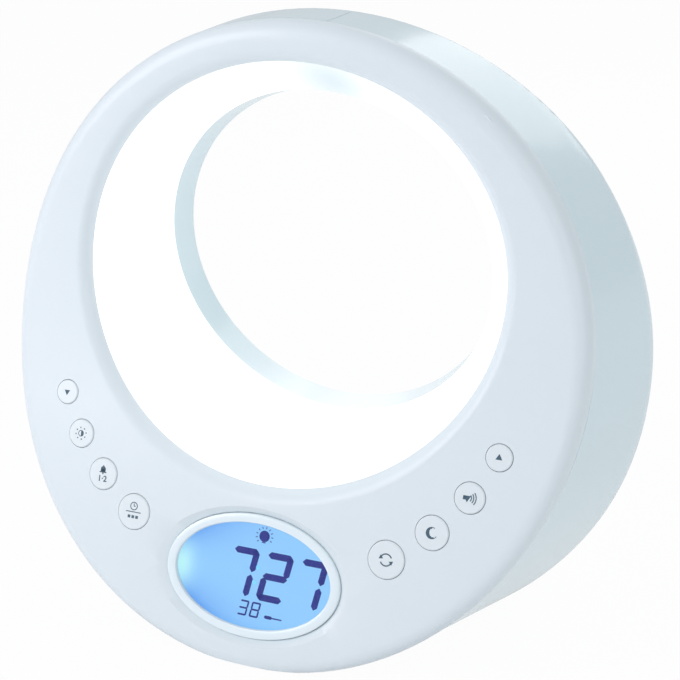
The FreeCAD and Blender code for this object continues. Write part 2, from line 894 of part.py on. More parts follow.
# Display: oval frame, clear window, liquid crystal glass, light guide, holder, contact strips and board
frame_half_width = size("window_half_width") + size("frame_width")
frame_half_height = size("window_half_height") + size("frame_width") - 0.3
rebate_width = size("window_half_width") + size("window_rebate")
rebate_height = size("window_half_height") + size("window_rebate")
flange_foot = -size("frame_seat") - size("frame_flange_thickness")


def oval_loft(half_width, half_height, profile):
    """Oval solid round the display's centre through sections, each with a growth and a level."""
    up = V(0, 1, 0)
    wires = []
    for grow, level in profile:
        centre = V(0, size("display_height"), level)
        wires.append(ellipse_wire(half_width + grow, half_height + grow, centre, up))
    return Part.makeLoft(wires, True, True)


def display_frame():
    crown = -size("frame_depth")
    edge = size("frame_edge_round")
    away = edge * (1 - math.sin(math.pi / 4))
    outer = [(0, -size("frame_seat")), (0, crown - edge), (-away, crown - away), (-edge, crown)]
    inner = [(0, -reach), (0, crown - edge), (away, crown - away), (edge, crown), (edge, reach)]
    ring = oval_loft(frame_half_width, frame_half_height, outer)
    ring = ring.cut(oval_loft(size("window_half_width"), size("window_half_height"), inner))
    flange = size("frame_flange_width")
    rim = oval(frame_half_width + flange, frame_half_height + flange, flange_foot, -size("frame_seat"))
    ring = ring.fuse(rim.cut(oval(size("window_half_width"), size("window_half_height"), -reach, 1)))
    return ring.cut(oval(rebate_width, rebate_height, -reach, -size("window_depth"))).removeSplitter()


glass_level = flange_foot - size("glass_thickness")
guide_level = glass_level - size("guide_thickness")
strip_room = size("strip_width") + 0.4
window = oval(rebate_width - 0.1, rebate_height - 0.1, -size("window_depth") - size("window_thickness"), -size("window_depth"))
feature("display_frame", display_frame(), face_frame)
feature("display_window", window, face_frame)


def bound_box(name, length, width, height, placement):
    """Block whose three sizes are bound to the sheet."""
    block = doc.addObject("Part::Box", name)
    block.Label = name
    block.setExpression("Length", length)
    block.setExpression("Width", width)
    block.setExpression("Height", height)
    doc.recompute()
    centring = FreeCAD.Placement(V(-block.Length.Value / 2, -block.Width.Value / 2, 0), FreeCAD.Rotation())
    block.Placement = placement.multiply(centring)
    return block


display_centre = size("display_height")
holder_grow = "2 * sizes.holder_wall"
bound_box(
    "lcd_glass", "sizes.glass_width", "sizes.glass_height", "sizes.glass_thickness",
    on_face(0, display_centre, glass_level),
)
bound_box(
    "backlight_guide", "sizes.glass_width", "sizes.glass_height - 2 * sizes.strip_width - 0.8", "sizes.guide_thickness",
    on_face(0, display_centre, guide_level),
)
bound_box(
    "display_board", f"sizes.glass_width + {holder_grow}", f"sizes.glass_height + {holder_grow}",
    "sizes.board_thickness", on_face(0, display_centre, guide_level - size("board_thickness")),
)


def zebra_strips():
    strips = []
    offset = (size("glass_height") - size("strip_width")) / 2 - 0.2
    for side in (-1, 1):
        place = on_face(0, display_centre + side * offset, guide_level)
        strips.append(box_on(size("glass_width") - 4, size("strip_width"), size("guide_thickness"), place))
    return Part.makeCompound(strips)


def lcd_holder():
    width = size("glass_width")
    height = size("glass_height")
    rim = 2 * size("holder_wall")
    tall = flange_foot - guide_level
    middle = FreeCAD.Placement(V(0, display_centre, guide_level), FreeCAD.Rotation())
    holder = box_on(width + rim, height + rim, tall, middle)
    thickness = size("board_thickness")
    for across, up_face in holder_post_places():
        ear_level = -holder_depth() - thickness
        ear = Part.makeCylinder(size("post_radius"), thickness, V(across, up_face, ear_level))
        link_width = abs(across) - width / 2
        side = math.copysign(1, across)
        link_middle = side * (width / 2 + link_width / 2)
        place = FreeCAD.Placement(V(link_middle, up_face, ear_level), FreeCAD.Rotation())
        holder = holder.fuse([ear, box_on(link_width, 2 * size("post_radius"), thickness, place)])
    holder = holder.cut(box_on(width + 0.1, height + 0.1, tall, middle))
    return placed(holder, face_frame).cut(board_screw_bores())


feature("zebra_strips", zebra_strips())
feature("lcd_holder", lcd_holder())


# Round keys: cap, retaining flange and stem, each sliding in its hole in the face
def origin_plane(body):
    return [item for item in body.Origin.OriginFeatures if item.Role == "XY_Plane"][0]


def disc_pad(body, name, radius, level, length, down=False):
    """Round pad on the body's own base plane, lifted to a level, with its sizes bound to the sheet."""
    sketch = body.newObject("Sketcher::SketchObject", name + "_outline")
    sketch.AttachmentSupport = (origin_plane(body), [""])
    sketch.MapMode = "FlatFace"
    sketch.setExpression("AttachmentOffset.Base.z", level)
    sketch.addGeometry(Part.Circle(V(0, 0, 0), V(0, 0, 1), 1))
    sketch.addConstraint(Sketcher.Constraint("Coincident", 0, 3, -1, 1))
    index = sketch.addConstraint(Sketcher.Constraint("Radius", 0, 1))
    sketch.setExpression(f"Constraints[{index}]", radius)
    pad = body.newObject("PartDesign::Pad", name)
    pad.Profile = sketch
    pad.Reversed = down
    pad.setExpression("Length", length)
    doc.recompute()
    return pad


def key(name, row, side):
    body = doc.addObject("PartDesign::Body", name)
    body.Label = name
    label = f"sizes.key_radius_{row}"
    level = "-sizes.wall - 0.1"
    disc_pad(body, name + "_cap", label, level, "sizes.wall + 0.1 + sizes.key_rise")
    flange = "sizes.key_flange_thickness"
    disc_pad(body, name + "_flange", label + " + sizes.key_flange_width", level, flange, True)
    stem_level = f"{level} - {flange}"
    pad = disc_pad(body, name + "_stem", "sizes.key_stem_radius", stem_level, "sizes.key_stem_length", True)
    rise = size("key_rise")
    shape = body.Shape
    top = [f"Edge{number}" for number, edge in enumerate(shape.Edges, start=1) if edge.BoundBox.ZMin > rise - 0.001]
    chamfer = body.newObject("PartDesign::Chamfer", name + "_edge")
    chamfer.Base = (pad, top)
    chamfer.setExpression("Size", "sizes.key_edge_chamfer")
    across, up_face = key_place(side, row)
    body.Placement = on_face(across, up_face)
    doc.recompute()


for left_name, right_name, row in key_rows():
    key(f"key_{left_name}", row, -1)
    key(f"key_{right_name}", row, 1)


# Key boards: curved boards behind the keys, with one switch for each key
def key_board(side):
    half = size("key_board_half_width")
    thickness = size("board_thickness")
    display_side = size("glass_width") / 2 + size("holder_wall") + size("key_board_display_gap")
    first = math.degrees(math.asin(display_side / (key_circle - half)))
    last = key_angle("outer") + size("key_board_run_out")
    corner = V(0, key_circle_height, -key_board_depth() - thickness)
    sector = Part.makeCylinder(key_circle + half, thickness, corner, V(0, 0, 1), last - first)
    sector = sector.cut(Part.makeCylinder(key_circle - half, thickness, corner))
    quarter_turn = 90
    sector.rotate(corner, V(0, 0, 1), first - quarter_turn if side > 0 else -last - quarter_turn)
    return placed(sector, face_frame).cut(board_screw_bores())


def key_switches(side):
    switches = []
    width = size("switch_side")
    for _, _, row in key_rows():
        across, up_face = key_place(side, row)
        place = on_face(across, up_face, -key_board_depth())
        body = box_on(width, width, size("switch_height"), place)
        height = size("switch_height") + size("switch_plunger_height")
        plunger = placed(Part.makeCylinder(size("switch_plunger_radius"), height), place)
        switches.append(body.fuse(plunger))
    return Part.makeCompound(switches)


for side_name, side in (("left", -1), ("right", 1)):
    feature(f"key_board_{side_name}", key_board(side))
    feature(f"key_switches_{side_name}", key_switches(side))


# Snooze bar: curved bar flush with the housing's top, with lips that hold it under the wall
def snooze_bar():
    under = wall + 0.1
    floor = envelope(under + size("snooze_lip_thickness"))
    bar = envelope(0).cut(floor).common(snooze_block(0))
    lips = envelope(under).cut(floor)
    lip_block = Part.makeBox(
        2 * (size("snooze_half_width") + size("snooze_lip")), size("snooze_length"), reach,
        V(-size("snooze_half_width") - size("snooze_lip"), size("snooze_front_setback"), opening_z + size("opening_radius")),
    )
    return bar.fuse(lips.common(lip_block)).removeSplitter()


feature("snooze_bar", snooze_bar())
snooze_board_place = FreeCAD.Placement(
    V(0, snooze_middle_y(), snooze_board_top() - size("snooze_board_thickness")), FreeCAD.Rotation()
)
snooze_board = box_on(
    size("snooze_board_length"), size("snooze_board_width"), size("snooze_board_thickness"), snooze_board_place
)
feature("snooze_board", snooze_board.cut(board_screw_bores()))
bound_box(
    "snooze_switch", "sizes.switch_side", "sizes.switch_side", "sizes.snooze_switch_height",
    FreeCAD.Placement(V(0, snooze_middle_y(), snooze_board_top()), FreeCAD.Rotation()),
)


# Main board with a tongue that carries the two jacks, and its components
board_z = base + size("main_board_height")
board_middle = size("main_board_setback") + size("main_board_length") / 2
board_end = size("main_board_setback") + size("main_board_length")


def body_end():
    """Depth where the jacks' bodies end, just inside the back wall."""
    return back_y(jack_axis_z() + size("dc_jack_width") / 2, wall) - 0.2


def nose_end():
    """Depth where the jacks' noses end, just inside the outer surface."""
    return back_y(jack_axis_z() + size("dc_bore_radius") + size("nose_wall"), 0) - 0.2


def main_board():
    thickness = size("board_thickness")
    place = FreeCAD.Placement(V(0, board_middle, board_z), FreeCAD.Rotation())
    plate = box_on(size("main_board_width"), size("main_board_length"), thickness, place)
    tongue_length = body_end() - board_end + 1
    tongue_corner = V(size("tongue_across") - size("tongue_width") / 2, board_end - 1, board_z)
    tongue = Part.makeBox(size("tongue_width"), tongue_length, thickness, tongue_corner)
    return plate.fuse(tongue).removeSplitter().cut(board_screw_bores())


def main_chips():
    top = main_board_top()
    turn = FreeCAD.Rotation()
    chip = size("chip_side")
    quarter = size("main_board_width") / 4
    processor = box_on(chip, chip, size("chip_height"), FreeCAD.Placement(V(0, board_middle, top), turn))
    can_place = FreeCAD.Placement(V(-quarter, board_middle, top), turn)
    radio_can = box_on(size("can_width"), chip, size("can_height"), can_place)
    parts = [processor, radio_can]
    for index in range(3):
        across = quarter + (index - 1) * (2 * size("capacitor_radius") + 1)
        parts.append(Part.makeCylinder(size("capacitor_radius"), size("capacitor_height"), V(across, board_middle, top)))
    return Part.makeCompound(parts)


def jack(across, width, length, bore_radius, pin_radius):
    """Socket on the board's tongue, its nose in the back wall's hole."""
    top = main_board_top()
    height = size("jack_height") + width / 2
    body = Part.makeBox(width, length, height, V(across - width / 2, body_end() - length, top))
    mouth = nose_end()
    axis = V(0, 1, 0)
    nose_radius = bore_radius + size("nose_wall")
    body = body.fuse(Part.makeCylinder(nose_radius, mouth - body_end() + 1, V(across, body_end() - 1, jack_axis_z()), axis))
    depth = length + mouth - body_end() - 2
    body = body.cut(Part.makeCylinder(bore_radius, depth, V(across, mouth - depth, jack_axis_z()), axis))
    if pin_radius > 0:
        pin_start = V(across, mouth - depth - 0.5, jack_axis_z())
        body = body.fuse(Part.makeCylinder(pin_radius, depth, pin_start, axis))
    return body


feature("main_board", main_board())
feature("main_chips", main_chips())
feature("dc_jack", jack(
    size("dc_jack_across"), size("dc_jack_width"), size("dc_jack_length"), size("dc_bore_radius"), size("dc_pin_radius")
))
feature("aux_jack", jack(
    size("aux_jack_across"), size("aux_jack_width"), size("aux_jack_length"), size("aux_bore_radius"), 0
))


# Speaker behind the grille in the back: basket, paper cone and magnet
def speaker_frame():
    radius = size("speaker_radius")
    depth = size("speaker_depth")
    magnet = size("magnet_radius")
    rim_thickness = size("speaker_rim_thickness")
    seat = size("cone_seat") + size("cone_thickness")
    rim = Part.makeCylinder(radius, rim_thickness, V(0, 0, -wall - rim_thickness))
    basket = Part.makeCone(magnet, radius - 2, depth - 1, V(0, 0, -wall - depth))
    hollow = Part.makeCone(magnet - 1.2, radius - 3, depth + 1, V(0, 0, -wall - depth - 0.5))
    body = rim.fuse(basket).cut(hollow)
    return body.cut(Part.makeCylinder(radius - 2.5, depth, V(0, 0, -wall - seat)))


def speaker_cone():
    mouth = size("speaker_radius") - 3.6
    throat = size("magnet_radius") / 2
    depth = size("speaker_depth") - 3
    thickness = size("cone_thickness")
    foot = -wall - depth - size("cone_seat")
    outer = Part.makeCone(throat, mouth, depth, V(0, 0, foot))
    inner = Part.makeCone(throat, mouth, depth, V(0, 0, foot + thickness))
    surround = Part.makeCylinder(size("speaker_radius") - 2.5, thickness, V(0, 0, foot + depth - thickness))
    cone = outer.fuse(surround).cut(inner)
    coil = Part.makeCylinder(throat, 2.6, V(0, 0, -wall - depth - 2.6))
    return cone.fuse(coil)


def speaker_magnet():
    level = -wall - size("speaker_depth") - size("magnet_depth")
    return Part.makeCylinder(size("magnet_radius"), size("magnet_depth"), V(0, 0, level))


feature("speaker_frame", speaker_frame(), speaker_place())
feature("speaker_cone", speaker_cone(), speaker_place())
feature("speaker_magnet", speaker_magnet(), speaker_place())


# Battery bay: hinged door with pins at its lower edge, two backup cells and their contacts
bay_place = on_back(-size("bay_across"), size("bay_height"))


def battery_door():
    thickness = size("door_thickness")
    clearance = size("door_clearance")
    width = size("bay_width") - 2 * clearance
    top = size("bay_opening_height") / 2 - clearance
    axis_up = door_axis_up()
    plate = Part.makeBox(width, top - axis_up, thickness, V(-width / 2, axis_up, -thickness))
    barrel = Part.makeCylinder(thickness / 2, width, V(-width / 2, axis_up, -thickness / 2), V(1, 0, 0))
    pin_length = width + 2 * size("door_pin_length")
    pin = Part.makeCylinder(
        size("door_pin_radius"), pin_length, V(-pin_length / 2, axis_up, -thickness / 2), V(1, 0, 0)
    )
    door = plate.fuse([barrel, pin])
    notch = Part.makeCylinder(size("finger_notch_radius"), thickness, V(0, top + 2, -thickness / 2))
    return door.cut(notch).removeSplitter()


def cell_level():
    return -size("door_thickness") - 0.4 - size("cell_radius")


def backup_cells():
    cells = []
    length = size("cell_length")
    radius = size("cell_radius")
    for side in (-1, 1):
        start = V(-length / 2, side * (radius + 0.2), cell_level())
        can = Part.makeCylinder(radius, length - 1, start, V(1, 0, 0))
        nub = Part.makeCylinder(radius / 3, length, start, V(1, 0, 0))
        cell = can.fuse(nub)
        cells.append(cell)
    return Part.makeCompound(cells)


def battery_contacts():
    contacts = []
    thickness = size("contact_thickness")
    side_length = size("contact_side")
    reach_in = (size("bay_width") - size("cell_length")) / 2 - 0.1
    for end in (-1, 1):
        for side in (-1, 1):
            middle = V(end * (size("bay_width") / 2 - thickness / 2), side * (size("cell_radius") + 0.2), cell_level())
            plate = Part.makeBox(thickness, side_length, side_length)
            plate.translate(middle - V(thickness / 2, side_length / 2, side_length / 2))
            bump = Part.makeCylinder(1.4, reach_in, V(end * size("bay_width") / 2, middle.y, middle.z), V(-end, 0, 0))
            contacts.append(plate.fuse(bump))
    return Part.makeCompound(contacts)


feature("battery_door", battery_door(), bay_place)
feature("backup_cells", backup_cells(), bay_place)
feature("battery_contacts", battery_contacts(), bay_place)


# Rubber feet and screws
def rubber_feet():
    feet = []
    for across, setback, radius in foot_places():
        foot = Part.makeCylinder(radius, size("foot_height") + size("foot_recess"), V(across, setback, 0))
        rim = edges_where(foot, lambda point: point.z < 0.001)
        feet.append(foot.makeChamfer(size("foot_height") / 3, [rim[0]]))
    return Part.makeCompound(feet)


def case_screws():
    screws = []
    axis = V(0, 1, 0)
    for across, z in screw_places():
        seat = screw_seat_y(z)
        shaft = Part.makeCylinder(size("screw_radius") - 0.05, size("screw_length"), V(across, seat, z), V(0, -1, 0))
        head = Part.makeCylinder(size("screw_head_radius"), size("screw_head_height"), V(across, seat, z), axis)
        cross_width = size("screw_head_radius")
        slot = size("screw_radius") / 3
        corner = V(across - cross_width / 2, seat + size("screw_head_height") / 2, z - slot / 2)
        flat = Part.makeBox(cross_width, reach, slot, corner)
        upright = Part.makeBox(slot, reach, cross_width, corner + V((cross_width - slot) / 2, 0, (slot - cross_width) / 2))
        screws.append(shaft.fuse(head).cut([flat, upright]))
    return Part.makeCompound(screws)


def board_screws():
    shaft = Part.makeCylinder(size("board_screw_radius"), size("board_screw_length"), V(0, 0, -size("board_screw_length")))
    head = Part.makeCylinder(size("board_screw_head_radius"), size("board_screw_head_height"))
    screw = shaft.fuse(head)
    return Part.makeCompound([placed(screw, place) for place in board_screw_places()])


feature("rubber_feet", rubber_feet())
feature("case_screws", case_screws())
feature("board_screws", board_screws())

# The origin goes under the middle of the whole clock
doc.recompute()
sub_parts = [item for item in doc.Objects if item.TypeId in ("Part::Feature", "Part::Box", "PartDesign::Body")]
shapes = {item.Label: item for item in sub_parts}
front = shapes["front_bezel"].Shape.optimalBoundingBox().YMin
rear = shapes["rear_housing"].Shape.optimalBoundingBox().YMax
for item in sub_parts:
    item.Placement.Base = item.Placement.Base + V(0, -(front + rear) / 2, 0)
doc.recompute()

for item in doc.Objects:
    if "Invalid" in item.State or "Error" in item.State:
        raise RuntimeError(f"{item.Name} did not build: {item.State}")
for item in sub_parts:
    if item.Shape.isNull() or not item.Shape.isValid():
        raise RuntimeError(f"{item.Label} has no valid shape")
for item in sub_parts:
    item.Shape.exportStep(f"parts/{item.Label}.step")
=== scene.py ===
import bmesh
import bpy
import json
import math
from mathutils import Matrix, Vector


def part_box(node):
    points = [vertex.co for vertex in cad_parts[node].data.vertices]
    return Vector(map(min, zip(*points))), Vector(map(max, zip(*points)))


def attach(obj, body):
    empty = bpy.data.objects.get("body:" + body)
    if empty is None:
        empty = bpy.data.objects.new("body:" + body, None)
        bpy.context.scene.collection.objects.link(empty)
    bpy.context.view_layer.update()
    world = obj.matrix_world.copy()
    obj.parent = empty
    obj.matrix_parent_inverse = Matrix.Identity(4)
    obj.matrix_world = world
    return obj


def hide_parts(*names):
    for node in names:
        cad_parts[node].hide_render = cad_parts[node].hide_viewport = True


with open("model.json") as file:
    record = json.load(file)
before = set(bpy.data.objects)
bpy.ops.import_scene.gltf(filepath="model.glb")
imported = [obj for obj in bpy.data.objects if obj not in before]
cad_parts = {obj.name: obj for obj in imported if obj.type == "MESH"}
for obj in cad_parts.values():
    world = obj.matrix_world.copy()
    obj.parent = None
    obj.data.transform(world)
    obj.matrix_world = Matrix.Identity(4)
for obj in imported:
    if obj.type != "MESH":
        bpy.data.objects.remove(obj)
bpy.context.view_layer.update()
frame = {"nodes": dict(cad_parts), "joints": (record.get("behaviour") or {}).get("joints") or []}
nodes = frame["nodes"]

# Front bezel. The curved crescent face with its rolled lip is one injection moulding in a cool,
# faintly lavender white, with a satin gloss and a very fine spark-eroded grain. It clips onto the
# rear housing along a parting line a few millimetres behind the face.


class Signal:
    """A shader socket; arithmetic on it adds Math nodes to its finish."""

    def __init__(self, finish, socket):
        self.finish = finish
        self.socket = socket

    def combine(self, operation, first, second):
        return self.finish.node("Math", {"operation": operation}, {0: first, 1: second})

    def __add__(self, other):
        return self.combine("ADD", self, other)

    def __radd__(self, other):
        return self.combine("ADD", other, self)

    def __sub__(self, other):
        return self.combine("SUBTRACT", self, other)

    def __rsub__(self, other):
        return self.combine("SUBTRACT", other, self)

    def __mul__(self, other):
        return self.combine("MULTIPLY", self, other)

    def __rmul__(self, other):
        return self.combine("MULTIPLY", other, self)

    def __truediv__(self, other):
        return self.combine("DIVIDE", self, other)


class Finish:
    """A procedural finish of a material, or of the world, built up node by node."""

    def __init__(self, name, holder=None):
        self.holder = holder or bpy.data.materials.new(name)
        self.holder.use_nodes = True
        self.tree = self.holder.node_tree
        self.tree.nodes.clear()

    def node(self, kind, settings=None, inputs=None, output=0):
        """Adds a node: its settings first, then the values or links of its sockets."""
        made = self.tree.nodes.new("ShaderNode" + kind)
        for key, value in (settings or {}).items():
            setattr(made, key, value)
        for key, value in (inputs or {}).items():
            if isinstance(value, Signal):
                self.tree.links.new(value.socket, made.inputs[key])
            else:
                made.inputs[key].default_value = value
        return Signal(self, made.outputs[output]) if made.outputs else None

    def place(self):
        return self.node("TexCoord", output="Object")

    def along(self, axis, vector=None):
        """Distance along an axis, of the place itself or of another vector."""
        return self.node("SeparateXYZ", None, {0: vector or self.place()}, axis)

    def noise(self, scale, detail=3.0):
        return self.node("TexNoise", None, {"Vector": self.place(), "Scale": scale, "Detail": detail})

    def end(self, shader, kind="OutputMaterial"):
        self.node(kind, None, {"Surface": shader})
        return self.holder


def blend_colours(finish, share, first, second):
    """Colour that runs from the first to the second as the share goes from 0 to 1."""
    first = first if isinstance(first, Signal) else (*first, 1)
    inputs = {"Factor": share, "A": first, "B": (*second, 1)}
    return finish.node("Mix", {"data_type": "RGBA"}, inputs, "Result")


def moulded_skin(finish, colour, shade, roughness, swing, coat, grain, grain_scale):
    """Sockets of injection-moulded plastic: slow drifts of tone and gloss, and a fine moulded grain."""
    height = finish.noise(grain_scale, 2.0)
    return {
        "Base Color": blend_colours(finish, finish.noise(18.0), colour, shade),
        "Roughness": roughness + (finish.noise(60.0, 4.0) - 0.5) * swing,
        "Normal": finish.node("Bump", None, {"Height": height, "Strength": 0.35, "Distance": grain}),
        "IOR": 1.5,
        "Coat Weight": coat,
        "Coat Roughness": 0.12,
    }


def moulded(name, colour, shade, roughness, coat, grain=0.00002, grain_scale=1400.0):
    finish = Finish(name)
    skin = moulded_skin(finish, colour, shade, roughness, roughness * 0.35, coat, grain, grain_scale)
    return finish.end(finish.node("BsdfPrincipled", None, skin))


SHARP_FOLD = math.radians(32)
MERGE_REACH = 0.000002


def smoothed(node, body, material):
    """Copy of a CAD node with its facets merged and shaded as one surface between sharp folds."""
    shape = bmesh.new()
    shape.from_mesh(nodes[node].data)
    bmesh.ops.remove_doubles(shape, verts=shape.verts, dist=MERGE_REACH)
    for face in shape.faces:
        face.smooth = True
    for edge in shape.edges:
        closed = len(edge.link_faces) == 2
        edge.smooth = closed and edge.calc_face_angle(math.pi) <= SHARP_FOLD
    mesh = bpy.data.meshes.new(f"smooth_{node}")
    shape.to_mesh(mesh)
    shape.free()
    mesh.materials.append(material)
    piece = bpy.data.objects.new(f"smooth_{node}", mesh)
    bpy.context.collection.objects.link(piece)
    weighted = piece.modifiers.new("weighted", "WEIGHTED_NORMAL")
    weighted.mode = "FACE_AREA"
    weighted.weight = 50
    weighted.keep_sharp = True
    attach(piece, body)
    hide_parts(node)


face_white = moulded("face_white", (0.775, 0.845, 0.885), (0.765, 0.835, 0.875), 0.38, 0.12)
smoothed("front_bezel", "case", face_white)

# Rear housing. The deep shell with the flared side wall, the flat underside and the tunnel's
# unlit sleeve is moulded in the same white as the face but polished, so that it mirrors the room.


def spot(finish, aside, above):
    """Share that is 1 in the middle of a spot and falls away round it like a bell curve."""
    return finish.node("Math", {"operation": "EXPONENT"}, {0: (aside * aside + above * above) * -1.0})


def shell_plastic():
    """The polished white, with a painted glow: a painted pool of lamp light round the foot of the tunnel, in
    the sleeve and on the back.
    """
    finish = Finish("shell_white")
    low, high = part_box("light_diffuser")
    # Middle and height of the painted pool of light on the shell.
    painted_glow_across = (low.x + high.x) / 2 + 0.004
    painted_glow_level = 0.062
    tunnel_reach = 0.062
    across = finish.along("X")
    aside = (across - painted_glow_across) / 0.034
    above = (finish.along("Z") - painted_glow_level) / 0.013
    off_middle = finish.node("Math", {"operation": "ABSOLUTE"}, {0: across})
    under_tunnel = finish.node("Math", {"operation": "LESS_THAN"}, {0: off_middle, 1: tunnel_reach})
    painted_glow = spot(finish, aside, above) * under_tunnel
    skin = moulded_skin(
        finish, (0.735, 0.865, 0.90), (0.725, 0.855, 0.89), 0.22, 0.08, 0.25, 0.000008, 500.0
    )
    # Painted light: this emission lays a warm glow on the shell at the tunnel's foot, standing in for the
    # lamp's light falling there.
    skin["Emission Color"] = blend_colours(finish, painted_glow, (0.0, 0.0, 0.0), (0.36, 0.30, 0.28))
    skin["Emission Strength"] = 1.0
    return finish.end(finish.node("BsdfPrincipled", None, skin))


shell_white = shell_plastic()
smoothed("rear_housing", "case", shell_white)

# Snooze bar. A curved bar in the top of the housing, cut from the same polished white, which sinks
# by a millimetre when it is struck.
smoothed("snooze_bar", "snooze_bar", shell_white)

# Light diffuser. The opal funnel in the tunnel glows an even white from the ring of chips behind
# it, and is a little dimmer and bluer at the top, where the ring has its gap.


def lit_opal():
    finish = Finish("lit_opal")
    low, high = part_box("light_diffuser")
    gap_across = (low.x + high.x) / 2 + 0.011
    gap_level = high.z - 0.012
    aside = (finish.along("X") - gap_across) / 0.017
    above = (finish.along("Z") - gap_level) / 0.012
    dimmed = spot(finish, aside, above) * 0.9 + finish.noise(25.0) * 0.06
    shader = finish.node("BsdfPrincipled", None, {
        "Base Color": (0.35, 0.36, 0.37, 1),
        "Roughness": 0.45,
        "Emission Color": blend_colours(finish, dimmed, (1.0, 1.0, 1.0), (0.45, 0.55, 0.585)),
        "Emission Strength": 0.95,
        "Specular IOR Level": 0.25,
    })
    return finish.end(shader)


smoothed("light_diffuser", "case", lit_opal())

# Display frame. A rounded oval ring in glossy light grey-white, glued in from behind, that stands
# in a shallow dish in the face.
frame_white = moulded("frame_white", (0.84, 0.93, 0.975), (0.83, 0.92, 0.965), 0.25, 0.25)
smoothed("display_frame", "case", frame_white)

# Display window. A flat oval of clear polished acrylic, cut from sheet and seated in the frame's
# rebate, in front of the liquid crystal glass.


def clothe(node, material):
    """Gives a CAD node its finish."""
    slots = nodes[node].data.materials
    slots.clear()
    slots.append(material)


def clear_acrylic(name, tint):
    finish = Finish(name)
    shader = finish.node("BsdfPrincipled", None, {
        "Base Color": tint,
        "Roughness": 0.015 + finish.noise(90.0) * 0.02,
        "IOR": 1.3,
        "Transmission Weight": 1.0,
    })
    return finish.end(shader)


clothe("display_window", clear_acrylic("window_acrylic", (1, 1, 1, 1)))

# Liquid crystal glass. The panel glows light blue from the guide behind it, brightest at its left
# end, where the lamp of the backlight sits, and deeper blue beside that spot.
across_face = Vector((1, 0, 0))
press_axis = Vector(next(joint["axis"] for joint in frame["joints"] if joint["name"] == "key_set_press"))
out_of_face = -press_axis.normalized()
up_face = out_of_face.cross(across_face)
LEVEL_SLACK = 0.00001


def top_centre(node):
    """Middle of the outermost flat of a CAD node, seen square on to the face."""
    points = [vertex.co.copy() for vertex in nodes[node].data.vertices]
    level = max(point.dot(out_of_face) for point in points)
    outermost = [point for point in points if point.dot(out_of_face) > level - LEVEL_SLACK]
    centre = out_of_face * level
    for axis in (across_face, up_face):
        reaches = [point.dot(axis) for point in outermost]
        centre += axis * ((min(reaches) + max(reaches)) / 2)
    return centre


def face_matrix(centre):
    """Turns flat shapes drawn in X and Y onto the face, with their centre at a point."""
    turn = Matrix((across_face, up_face, out_of_face)).transposed().to_4x4()
    return Matrix.Translation(centre) @ turn


panel_centre = top_centre("lcd_glass")


def backlit_panel():
    finish = Finish("backlit_panel")
    to_panel = face_matrix(panel_centre).inverted()
    on_panel = finish.node("Mapping", None, {
        "Vector": finish.place(),
        "Rotation": to_panel.to_euler(),
        "Location": to_panel.to_translation(),
    })
    lamp_across = -0.0275
    lamp_level = -0.001
    left_end = -0.030
    fade_length = 0.0095
    corner_height = 0.009
    across = finish.along("X", on_panel)
    up = finish.along("Y", on_panel)
    lamp = spot(finish, (across - lamp_across) / 0.0042, (up - lamp_level) / 0.0070)
    fade = finish.node("Math", {"operation": "EXPONENT"}, {0: (across - left_end) / fade_length * -1.0})
    off_middle = up * up / (corner_height * corner_height)
    corners = finish.node("Math", {"operation": "MINIMUM"}, {0: fade * off_middle, 1: 1.0})
    even = blend_colours(finish, finish.noise(30.0), (0.265, 0.585, 0.97), (0.255, 0.57, 0.95))
    deep = blend_colours(finish, corners * 0.9, even, (0.07, 0.26, 0.83))
    shader = finish.node("BsdfPrincipled", None, {
        "Base Color": (0.02, 0.03, 0.05, 1),
        "Roughness": 0.25,
        "Emission Color": blend_colours(finish, lamp * 0.8, deep, (0.55, 0.97, 0.93)),
        "Emission Strength": 1.0,
    })
    return finish.end(shader)


clothe("lcd_glass", backlit_panel())

# Display figures. Dark navy segments in the liquid crystal: the time in slanted seven-segment
# figures, a small pair of figures below, and a lamp sign above them. They are drawn flat, in
# millimetres, and then carried onto the glass.
FILM = 0.04
MILLIMETRE = 0.001


def settle(name, drawing, matrix, material, body):
    """Makes a piece of a bmesh drawn flat in millimetres, carries it into place and lets it ride."""
    bmesh.ops.scale(drawing, vec=Vector((MILLIMETRE, MILLIMETRE, MILLIMETRE)), verts=drawing.verts)
    bmesh.ops.recalc_face_normals(drawing, faces=drawing.faces)
    bmesh.ops.transform(drawing, matrix=matrix, verts=drawing.verts)
    mesh = bpy.data.meshes.new(name)
    drawing.to_mesh(mesh)
    drawing.free()
    piece = bpy.data.objects.new(name, mesh)
    bpy.context.collection.objects.link(piece)
    mesh.materials.append(material)
    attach(piece, body)


def through_edges(verts):
    """Edges of a flat block that run through its thickness."""
    edges = dict.fromkeys(edge for vert in verts for edge in vert.link_edges)
    return [edge for edge in edges if abs(edge.verts[0].co.z - edge.verts[1].co.z) > FILM / 2]


def bar(drawing, start, end, width, point=0.45):
    """Flat bar from one point to another, its ends pointed by a share of its width."""
    start = Vector((*start, 0))
    end = Vector((*end, 0))
    run = end - start
    made = bmesh.ops.create_cube(drawing, size=1.0)["verts"]
    bmesh.ops.scale(drawing, vec=Vector((run.length, width, FILM)), verts=made)
    if point > 0:
        cut = bmesh.ops.bevel(
            drawing, geom=through_edges(made), offset=width * point, affect="EDGES",
            segments=1, profile=0.5, material=-1,
        )
        kept = {vert for vert in made if vert.is_valid}
        made = list(kept | {vert for face in cut["faces"] for vert in face.verts})
    middle = (start + end) / 2 + Vector((0, 0, FILM / 2))
    place = Matrix.Translation(middle) @ Matrix.Rotation(math.atan2(run.y, run.x), 4, "Z")
    bmesh.ops.transform(drawing, matrix=place, verts=made)


def disc(drawing, centre, radius, segments=24, turn=0.0):
    """Flat disc, or a regular polygon with few segments."""
    place = Matrix.Translation((*centre, FILM / 2)) @ Matrix.Rotation(turn, 4, "Z")
    bmesh.ops.create_cone(
        drawing, cap_ends=True, segments=segments, radius1=radius, radius2=radius,
        depth=FILM, matrix=place,
    )


